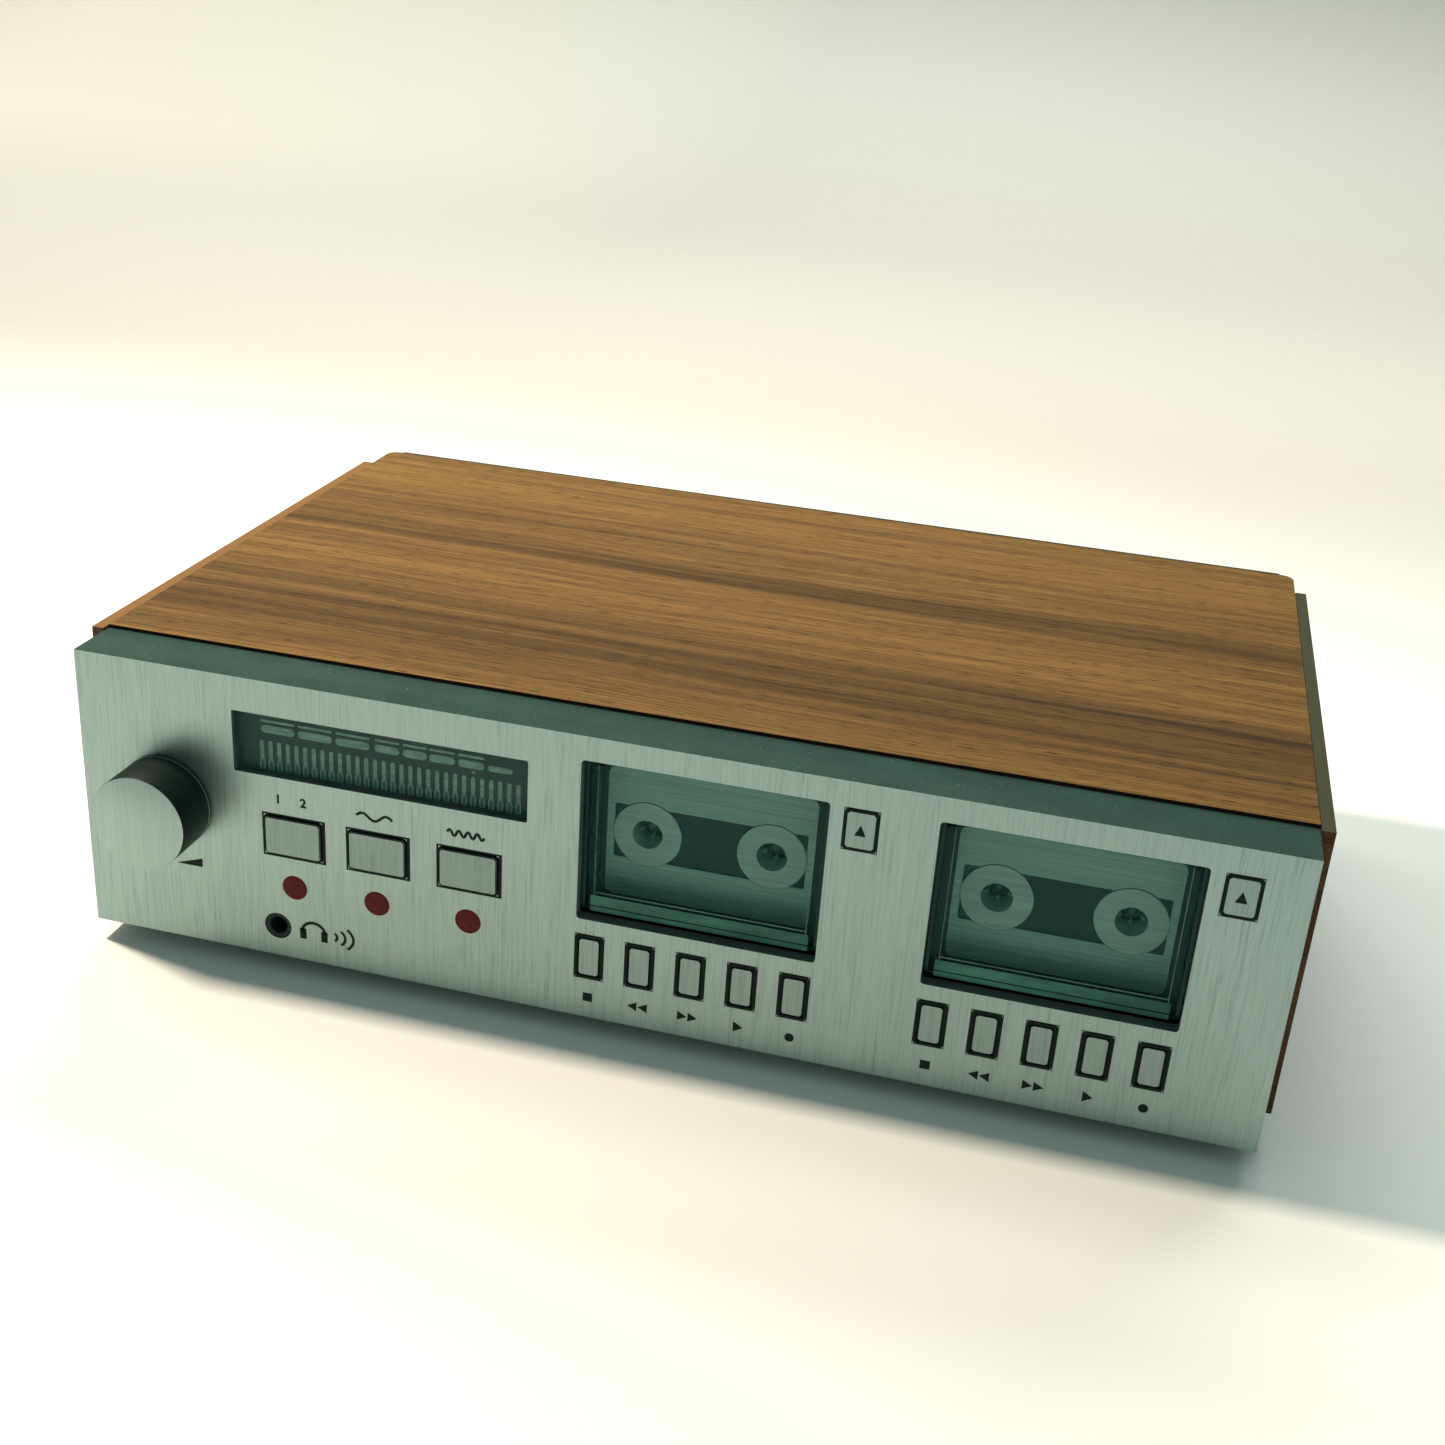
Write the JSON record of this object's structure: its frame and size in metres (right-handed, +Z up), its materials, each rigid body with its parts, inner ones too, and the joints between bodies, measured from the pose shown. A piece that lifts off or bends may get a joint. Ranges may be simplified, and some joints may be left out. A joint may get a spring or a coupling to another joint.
{
  "type": "cassette deck",
  "caption": "Twin-well cassette deck: brushed aluminium front, walnut case, swing-out doors, level knob, push keys and a bar level display.",
  "frame": {"origin": "centre of the footprint, on the surface that the feet stand on", "axes": "+X to the right seen from the front, +Y towards the back, +Z up"},
  "size_m": [0.5416, 0.375, 0.1479],
  "materials": {
    "brushed_aluminium": "vertical brushed, satin anodised",
    "zinc_steel": "dark satin coated sheet steel",
    "walnut_veneer": "oiled straight-grained veneer",
    "black_plastic": "fine moulded texture",
    "smoked_plastic": "dark green smoked, glossy",
    "tinted_glass": "polished green tint, bevelled edge",
    "red_lens": "dark red translucent lens",
    "foot_rubber": "matt",
    "reel_plastic": "pale moulded plastic",
    "turned_brass": "turned",
    "circuit_board": "green solder mask"
  },
  "bodies": {
    "case": {"fascia": "brushed_aluminium", "front_subchassis": "zinc_steel", "base_pan": "zinc_steel", "top_panel": "walnut_veneer", "side_panel_left": "walnut_veneer", "side_panel_right": "walnut_veneer", "back_panel": "zinc_steel", "rear_jack_panel": "black_plastic", "mains_inlet": "black_plastic", "foot_front_left": "foot_rubber", "foot_front_right": "foot_rubber", "foot_rear_left": "foot_rubber", "foot_rear_right": "foot_rubber", "level_pot": "zinc_steel", "indicator_led_1": "red_lens", "indicator_led_2": "red_lens", "indicator_led_3": "red_lens", "headphone_jack": "black_plastic", "display_glass": "tinted_glass", "display_module": "black_plastic", "mechanism_plate_a": "zinc_steel", "mechanism_plate_b": "zinc_steel", "drive_motor": "zinc_steel", "main_board": "circuit_board", "power_transformer": "zinc_steel"},
    "level_control": {"level_knob": "brushed_aluminium", "level_pot_shaft": "zinc_steel"},
    "selector_1": {"selector_button_1": "brushed_aluminium"},
    "selector_2": {"selector_button_2": "brushed_aluminium"},
    "selector_3": {"selector_button_3": "brushed_aluminium"},
    "key_stop_a": {"key_stop_a": "brushed_aluminium"},
    "key_rewind_a": {"key_rewind_a": "brushed_aluminium"},
    "key_forward_a": {"key_forward_a": "brushed_aluminium"},
    "key_play_a": {"key_play_a": "brushed_aluminium"},
    "key_record_a": {"key_record_a": "brushed_aluminium"},
    "eject_a": {"eject_button_a": "brushed_aluminium"},
    "key_stop_b": {"key_stop_b": "brushed_aluminium"},
    "key_rewind_b": {"key_rewind_b": "brushed_aluminium"},
    "key_forward_b": {"key_forward_b": "brushed_aluminium"},
    "key_play_b": {"key_play_b": "brushed_aluminium"},
    "key_record_b": {"key_record_b": "brushed_aluminium"},
    "eject_b": {"eject_button_b": "brushed_aluminium"},
    "door_a": {"door_frame_a": "smoked_plastic", "door_window_a": "tinted_glass", "cassette_shell_a": "smoked_plastic", "cassette_label_a": "brushed_aluminium"},
    "reel_left_a": {"cassette_reel_left_a": "reel_plastic"},
    "spindle_left_a": {"spindle_left_a": "black_plastic"},
    "reel_right_a": {"cassette_reel_right_a": "reel_plastic"},
    "spindle_right_a": {"spindle_right_a": "black_plastic"},
    "flywheel_a": {"flywheel_a": "turned_brass"},
    "door_b": {"door_frame_b": "smoked_plastic", "door_window_b": "tinted_glass", "cassette_shell_b": "smoked_plastic", "cassette_label_b": "brushed_aluminium"},
    "reel_left_b": {"cassette_reel_left_b": "reel_plastic"},
    "spindle_left_b": {"spindle_left_b": "black_plastic"},
    "reel_right_b": {"cassette_reel_right_b": "reel_plastic"},
    "spindle_right_b": {"spindle_right_b": "black_plastic"},
    "flywheel_b": {"flywheel_b": "turned_brass"}
  },
  "joints": [
    {"name": "level_turn", "type": "hinge", "parent": "case", "child": "level_control", "pos_m": [-0.2243, -0.1625, 0.08], "axis": [0, -1, 0], "range_deg": [-150, 150]},
    {"name": "selector_1_press", "type": "slide", "parent": "case", "child": "selector_1", "axis": [0, 1, 0], "range_m": [0, 0.003], "stiffness_N_per_m": 150, "springref_m": -0.004},
    {"name": "selector_2_press", "type": "slide", "parent": "case", "child": "selector_2", "axis": [0, 1, 0], "range_m": [0, 0.003], "stiffness_N_per_m": 150, "springref_m": -0.004},
    {"name": "selector_3_press", "type": "slide", "parent": "case", "child": "selector_3", "axis": [0, 1, 0], "range_m": [0, 0.003], "stiffness_N_per_m": 150, "springref_m": -0.004},
    {"name": "key_stop_a_press", "type": "slide", "parent": "case", "child": "key_stop_a", "axis": [0, 1, 0], "range_m": [0, 0.0035], "stiffness_N_per_m": 150, "springref_m": -0.004},
    {"name": "key_rewind_a_press", "type": "slide", "parent": "case", "child": "key_rewind_a", "axis": [0, 1, 0], "range_m": [0, 0.0035], "stiffness_N_per_m": 150, "springref_m": -0.004},
    {"name": "key_forward_a_press", "type": "slide", "parent": "case", "child": "key_forward_a", "axis": [0, 1, 0], "range_m": [0, 0.0035], "stiffness_N_per_m": 150, "springref_m": -0.004},
    {"name": "key_play_a_press", "type": "slide", "parent": "case", "child": "key_play_a", "axis": [0, 1, 0], "range_m": [0, 0.0035], "stiffness_N_per_m": 150, "springref_m": -0.004},
    {"name": "key_record_a_press", "type": "slide", "parent": "case", "child": "key_record_a", "axis": [0, 1, 0], "range_m": [0, 0.0035], "stiffness_N_per_m": 150, "springref_m": -0.004},
    {"name": "eject_a_press", "type": "slide", "parent": "case", "child": "eject_a", "axis": [0, 1, 0], "range_m": [0, 0.003], "stiffness_N_per_m": 150, "springref_m": -0.004},
    {"name": "key_stop_b_press", "type": "slide", "parent": "case", "child": "key_stop_b", "axis": [0, 1, 0], "range_m": [0, 0.0035], "stiffness_N_per_m": 150, "springref_m": -0.004},
    {"name": "key_rewind_b_press", "type": "slide", "parent": "case", "child": "key_rewind_b", "axis": [0, 1, 0], "range_m": [0, 0.0035], "stiffness_N_per_m": 150, "springref_m": -0.004},
    {"name": "key_forward_b_press", "type": "slide", "parent": "case", "child": "key_forward_b", "axis": [0, 1, 0], "range_m": [0, 0.0035], "stiffness_N_per_m": 150, "springref_m": -0.004},
    {"name": "key_play_b_press", "type": "slide", "parent": "case", "child": "key_play_b", "axis": [0, 1, 0], "range_m": [0, 0.0035], "stiffness_N_per_m": 150, "springref_m": -0.004},
    {"name": "key_record_b_press", "type": "slide", "parent": "case", "child": "key_record_b", "axis": [0, 1, 0], "range_m": [0, 0.0035], "stiffness_N_per_m": 150, "springref_m": -0.004},
    {"name": "eject_b_press", "type": "slide", "parent": "case", "child": "eject_b", "axis": [0, 1, 0], "range_m": [0, 0.003], "stiffness_N_per_m": 150, "springref_m": -0.004},
    {"name": "door_swing_a", "type": "hinge", "parent": "case", "child": "door_a", "pos_m": [0.0224, -0.1525, 0.06495], "axis": [1, 0, 0], "range_deg": [0, 32]},
    {"name": "reel_left_a_spin", "type": "hinge", "parent": "door_a", "child": "reel_left_a", "pos_m": [-0.005, -0.1625, 0.09645], "axis": [0, 1, 0], "continuous": true},
    {"name": "spindle_left_a_spin", "type": "hinge", "parent": "case", "child": "spindle_left_a", "pos_m": [-0.005, -0.1625, 0.09645], "axis": [0, 1, 0], "continuous": true},
    {"name": "reel_right_a_spin", "type": "hinge", "parent": "door_a", "child": "reel_right_a", "pos_m": [0.0498, -0.1625, 0.09645], "axis": [0, 1, 0], "continuous": true},
    {"name": "spindle_right_a_spin", "type": "hinge", "parent": "case", "child": "spindle_right_a", "pos_m": [0.0498, -0.1625, 0.09645], "axis": [0, 1, 0], "continuous": true},
    {"name": "flywheel_a_spin", "type": "hinge", "parent": "case", "child": "flywheel_a", "pos_m": [0.0404, -0.1625, 0.07245], "axis": [0, 1, 0], "continuous": true},
    {"name": "door_swing_b", "type": "hinge", "parent": "case", "child": "door_b", "pos_m": [0.1726, -0.1525, 0.06495], "axis": [1, 0, 0], "range_deg": [0, 32]},
    {"name": "reel_left_b_spin", "type": "hinge", "parent": "door_b", "child": "reel_left_b", "pos_m": [0.1452, -0.1625, 0.09645], "axis": [0, 1, 0], "continuous": true},
    {"name": "spindle_left_b_spin", "type": "hinge", "parent": "case", "child": "spindle_left_b", "pos_m": [0.1452, -0.1625, 0.09645], "axis": [0, 1, 0], "continuous": true},
    {"name": "reel_right_b_spin", "type": "hinge", "parent": "door_b", "child": "reel_right_b", "pos_m": [0.2, -0.1625, 0.09645], "axis": [0, 1, 0], "continuous": true},
    {"name": "spindle_right_b_spin", "type": "hinge", "parent": "case", "child": "spindle_right_b", "pos_m": [0.2, -0.1625, 0.09645], "axis": [0, 1, 0], "continuous": true},
    {"name": "flywheel_b_spin", "type": "hinge", "parent": "case", "child": "flywheel_b", "pos_m": [0.1906, -0.1625, 0.07245], "axis": [0, 1, 0], "continuous": true}
  ],
  "couplings": [
    {"joint": "spindle_left_a_spin", "follows": "reel_left_a_spin", "ratio": 1},
    {"joint": "spindle_right_a_spin", "follows": "reel_right_a_spin", "ratio": 1},
    {"joint": "spindle_left_b_spin", "follows": "reel_left_b_spin", "ratio": 1},
    {"joint": "spindle_right_b_spin", "follows": "reel_right_b_spin", "ratio": 1}
  ]
}
